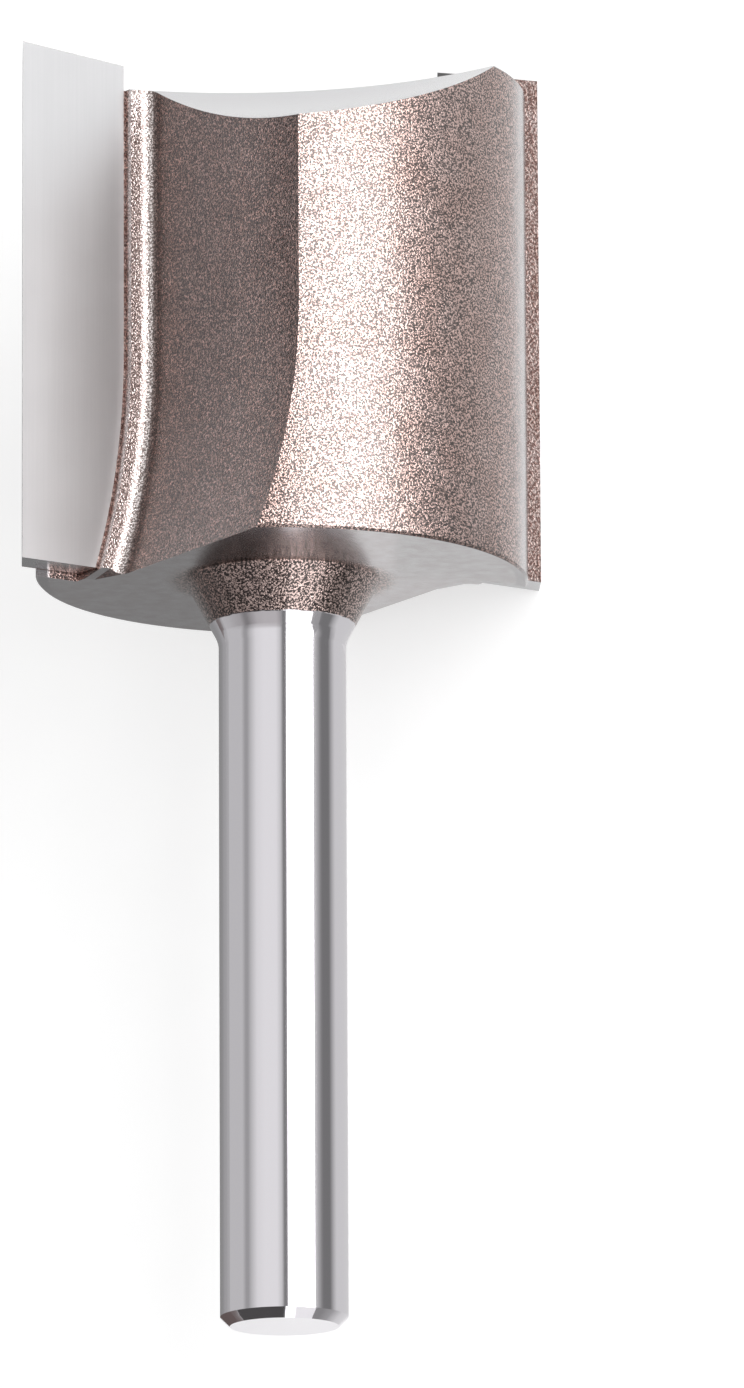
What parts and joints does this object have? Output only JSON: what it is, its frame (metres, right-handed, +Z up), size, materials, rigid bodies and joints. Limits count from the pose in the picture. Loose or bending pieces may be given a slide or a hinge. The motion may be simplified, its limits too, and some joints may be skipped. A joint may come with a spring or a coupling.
{
  "type": "router bit",
  "caption": "Straight router bit with a plain round shank and brazed carbide cutting edges on a wide fluted head, for cutting grooves and levelling wood.",
  "frame": {"origin": "centre of the shank's flat end face, on the tool axis", "axes": "+Y along the tool axis from the shank end towards the cutter, +Z up with the bit lying on its head as it comes to rest"},
  "size_m": [0.0226, 0.0608, 0.0198],
  "materials": {
    "tool_steel": "shank polished, head sandblasted to a fine sparkle with a warm brown cast, underside and top relief ground",
    "carbide": "finely ground tungsten carbide",
    "silver_braze": "coppery silver braze, rough where it shows behind the carbide"
  },
  "bodies": {
    "root": {"steel_body": "tool_steel", "carbide_tip_a": "carbide", "carbide_tip_b": "carbide", "braze_layer_a": "silver_braze", "braze_layer_b": "silver_braze"}
  },
  "joints": []
}
